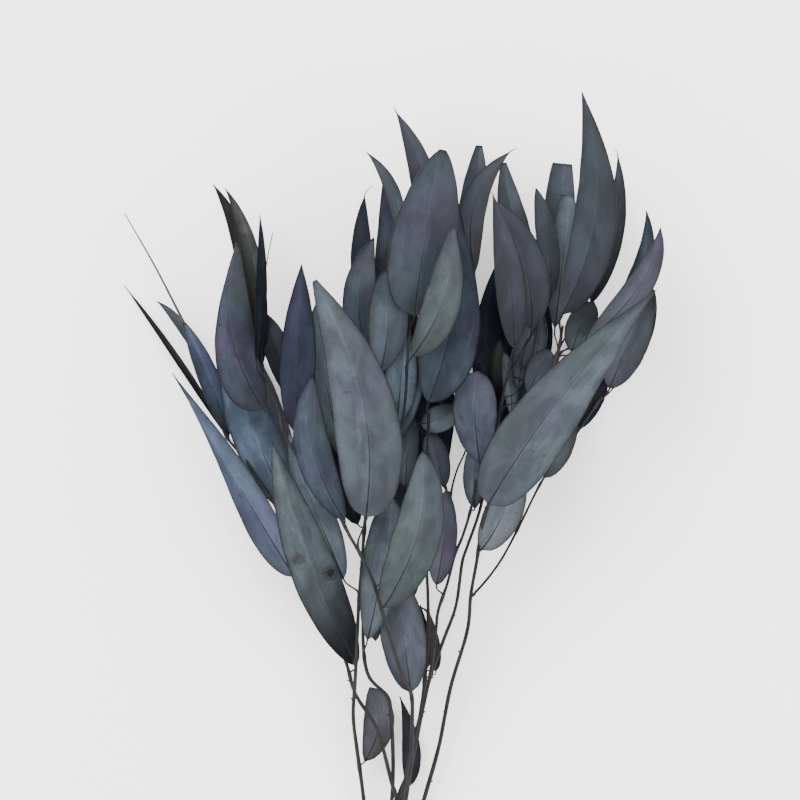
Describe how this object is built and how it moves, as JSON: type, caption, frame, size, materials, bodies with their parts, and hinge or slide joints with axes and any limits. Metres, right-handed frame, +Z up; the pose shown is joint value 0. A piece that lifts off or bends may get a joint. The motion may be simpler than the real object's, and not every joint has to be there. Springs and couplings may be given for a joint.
{
  "type": "bunch of dried eucalyptus",
  "caption": "Bunch of dried eucalyptus lying down, with sickle-shaped slate, purple and green-grey leaves on thin dark stems held by a twine tie.",
  "frame": {"origin": "on the table, under the middle of the tie, at the tie's flat underside", "axes": "+X across the bunch, to the right seen from above with the tips up; +Y along the bunch from the cut ends to the leaf tips; +Z up from the table"},
  "size_m": [0.3383, 0.6023, 0.1159],
  "materials": {
    "leaves": "matte",
    "stems": "matte",
    "twine": "matte"
  },
  "bodies": {
    "root": {"far_left_stem": "leaves", "left_stem": "leaves", "left_centre_stem": "leaves", "centre_stem": "leaves", "middle_stem": "leaves", "right_centre_stem": "leaves", "right_stem": "leaves", "far_right_stem": "leaves", "tie": "twine"}
  },
  "joints": []
}
